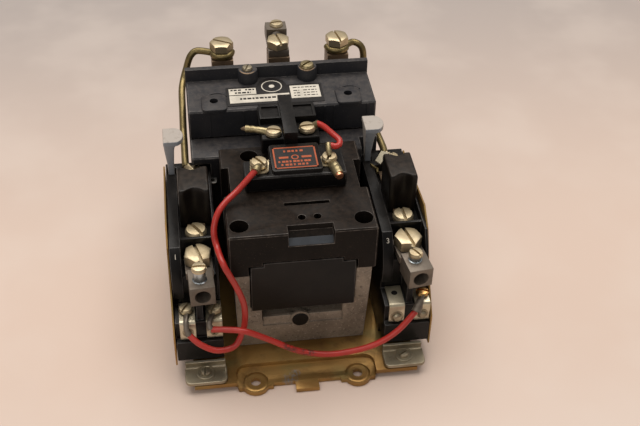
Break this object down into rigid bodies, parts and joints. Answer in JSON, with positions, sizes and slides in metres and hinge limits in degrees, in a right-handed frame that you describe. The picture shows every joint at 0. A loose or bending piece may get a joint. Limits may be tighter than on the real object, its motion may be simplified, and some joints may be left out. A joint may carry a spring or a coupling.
{
  "type": "magnetic motor starter",
  "caption": "Open magnetic motor starter: contactor with arc hood, solenoid and interlock, and two thermal overload relays on a stamped steel base plate, with its control wires.",
  "frame": {"origin": "middle of the whole part's footprint, on the plane that the base plate's pans touch", "axes": "+Z out of the mounting panel, +Y from the overload relays towards the line terminals, +X to the right when seen from the relay end"},
  "size_m": [0.1274, 0.1866, 0.104],
  "materials": {
    "yellow_chromate": "yellow chromate over zinc, worn olive in places",
    "casting": "rough grey-brown casting",
    "phenolic": "dark brown phenolic moulding, dusty satin",
    "slate_moulding": "slate grey moulding, satin",
    "black_moulding": "near-black moulding, satin",
    "zinc": "bright zinc on stamped steel",
    "nickel": "dull nickel on steel",
    "lug_metal": "dull grey-brown plated lug",
    "copper": "tarnished copper",
    "steel": "ground laminated steel",
    "rod_metal": "yellow-olive plated rod",
    "lever_moulding": "off-white moulding with a blue-grey front",
    "coil_wrap": "amber varnished coil wrap",
    "wire_vinyl": "red vinyl insulation with dark scuffs"
  },
  "bodies": {
    "starter": {"base_plate": "yellow_chromate", "left_side_plate": "yellow_chromate", "right_side_plate": "yellow_chromate", "magnet_frame": "casting", "coil_cover": "phenolic", "left_heater": "phenolic", "right_heater": "phenolic", "contact_block": "slate_moulding", "arc_hood": "slate_moulding", "coil_terminal_block": "black_moulding", "interlock_base": "black_moulding", "left_relay_base": "black_moulding", "right_relay_base": "black_moulding", "coil": "coil_wrap", "stationary_core": "steel", "line_terminal_1": "copper", "load_terminal_1": "copper", "load_screw_1": "zinc", "line_terminal_2": "copper", "load_terminal_2": "copper", "load_screw_2": "zinc", "line_terminal_3": "copper", "load_terminal_3": "copper", "load_screw_3": "zinc", "load_lug": "lug_metal", "left_lug": "lug_metal", "right_lug": "lug_metal", "rod_left": "rod_metal", "rod_right": "rod_metal", "left_terminal_screw": "zinc", "left_clip_a": "zinc", "left_clip_b": "zinc", "left_foot": "nickel", "right_terminal_screw": "zinc", "right_clip_a": "zinc", "right_clip_b": "zinc", "right_foot": "nickel", "wire_coil": "wire_vinyl", "wire_relays": "wire_vinyl", "wire_interlock": "wire_vinyl"},
    "carriage": {"armature": "steel", "armature_cap": "black_moulding", "carriage_yoke": "steel", "contact_carrier": "black_moulding", "interlock_pusher": "black_moulding", "contact_spring_1": "steel", "contact_spring_2": "steel", "contact_spring_3": "steel"},
    "contact_1": {"moving_contact_1": "copper"},
    "contact_2": {"moving_contact_2": "copper"},
    "contact_3": {"moving_contact_3": "copper"},
    "left_reset": {"left_reset_lever": "lever_moulding"},
    "right_reset": {"right_reset_lever": "lever_moulding"},
    "left_ratchet": {"left_ratchet_wheel": "copper"},
    "right_ratchet": {"right_ratchet_wheel": "copper"},
    "left_trip": {"left_trip_arm": "zinc"},
    "right_trip": {"right_trip_arm": "zinc"}
  },
  "joints": [
    {"name": "carriage_slide", "type": "slide", "parent": "starter", "child": "carriage", "axis": [0, 1, 0], "range_m": [0, 0.006], "stiffness_N_per_m": 150},
    {"name": "contact_1_slide", "type": "slide", "parent": "carriage", "child": "contact_1", "axis": [0, 1, 0], "range_m": [-0.0015, 0], "stiffness_N_per_m": 500, "deforming": ["contact_spring_1"]},
    {"name": "contact_2_slide", "type": "slide", "parent": "carriage", "child": "contact_2", "axis": [0, 1, 0], "range_m": [-0.0015, 0], "stiffness_N_per_m": 500, "deforming": ["contact_spring_2"]},
    {"name": "contact_3_slide", "type": "slide", "parent": "carriage", "child": "contact_3", "axis": [0, 1, 0], "range_m": [-0.0015, 0], "stiffness_N_per_m": 500, "deforming": ["contact_spring_3"]},
    {"name": "left_reset_slide", "type": "slide", "parent": "starter", "child": "left_reset", "axis": [0, 0, -1], "range_m": [0, 0.005], "stiffness_N_per_m": 300},
    {"name": "left_ratchet_turn", "type": "hinge", "parent": "starter", "child": "left_ratchet", "pos_m": [-0.0492, -0.02, 0.038], "axis": [0, 0, 1], "range_deg": [-30, 30]},
    {"name": "left_trip_swing", "type": "hinge", "parent": "starter", "child": "left_trip", "pos_m": [-0.0492, -0.0045, 0.025], "axis": [0, 0, 1], "range_deg": [-12, 12], "stiffness_Nm_per_rad": 0.01},
    {"name": "right_reset_slide", "type": "slide", "parent": "starter", "child": "right_reset", "axis": [0, 0, -1], "range_m": [0, 0.005], "stiffness_N_per_m": 300},
    {"name": "right_ratchet_turn", "type": "hinge", "parent": "starter", "child": "right_ratchet", "pos_m": [0.0533, -0.02, 0.038], "axis": [0, 0, 1], "range_deg": [-30, 30]},
    {"name": "right_trip_swing", "type": "hinge", "parent": "starter", "child": "right_trip", "pos_m": [0.0533, -0.0045, 0.025], "axis": [0, 0, 1], "range_deg": [-12, 12], "stiffness_Nm_per_rad": 0.01}
  ]
}
